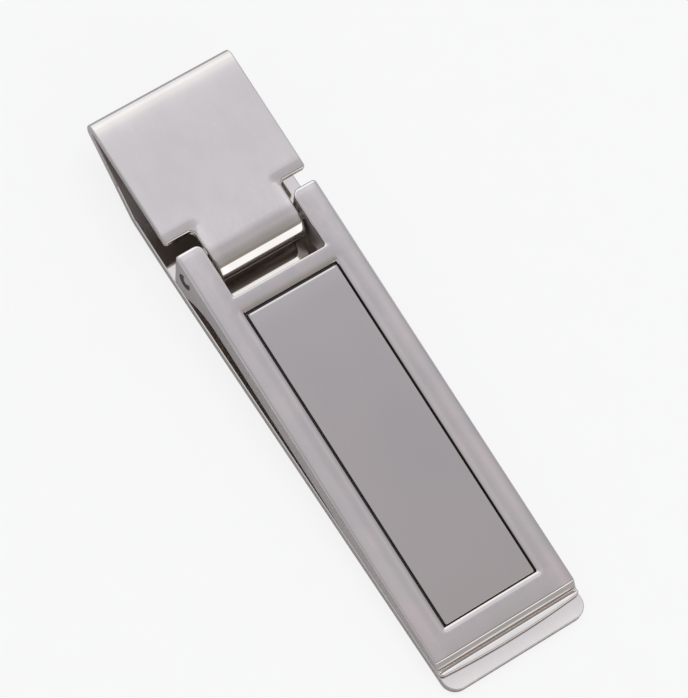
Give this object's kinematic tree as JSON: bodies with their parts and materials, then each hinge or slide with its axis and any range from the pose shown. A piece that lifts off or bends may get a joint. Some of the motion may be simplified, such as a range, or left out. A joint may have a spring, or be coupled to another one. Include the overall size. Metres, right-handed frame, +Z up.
{
  "type": "hinged money clip",
  "caption": "Hinged money clip: a folded spring strip with a curled tongue, and a cam-eared lever with a flush inlay plate that clamps folded notes.",
  "frame": {"origin": "middle of the clip's bounding box at its lowest face, where the back plate rests on a table", "axes": "+X along the clip's length from the fold to the open end, +Y across it along the hinge pin, +Z up from the back plate to the lever"},
  "size_m": [0.0635, 0.0158, 0.0065],
  "materials": {
    "spring_strip": "polished nickel-tone plate",
    "lever": "polished nickel-tone plate",
    "inlay": "fine satin mirror",
    "adhesive": "thin matt film",
    "pin": "turned steel"
  },
  "bodies": {
    "back": {"spring_back_plate": "spring_strip"},
    "arm": {"spring_front_arm": "spring_strip"},
    "lever": {"lever_frame": "lever", "inlay_plate": "inlay", "inlay_adhesive": "adhesive", "hinge_pin": "pin"}
  },
  "joints": [
    {"name": "arm_flex", "type": "hinge", "parent": "back", "child": "arm", "pos_m": [-0.03075, 0, 0.0055], "axis": [0, -1, 0], "range_deg": [0, 6], "stiffness_Nm_per_rad": 1.2, "springref_deg": -2.86},
    {"name": "lever_hinge", "type": "hinge", "parent": "arm", "child": "lever", "pos_m": [-0.01425, 0, 0.00376], "axis": [0, -1, 0], "range_deg": [0, 105]}
  ]
}
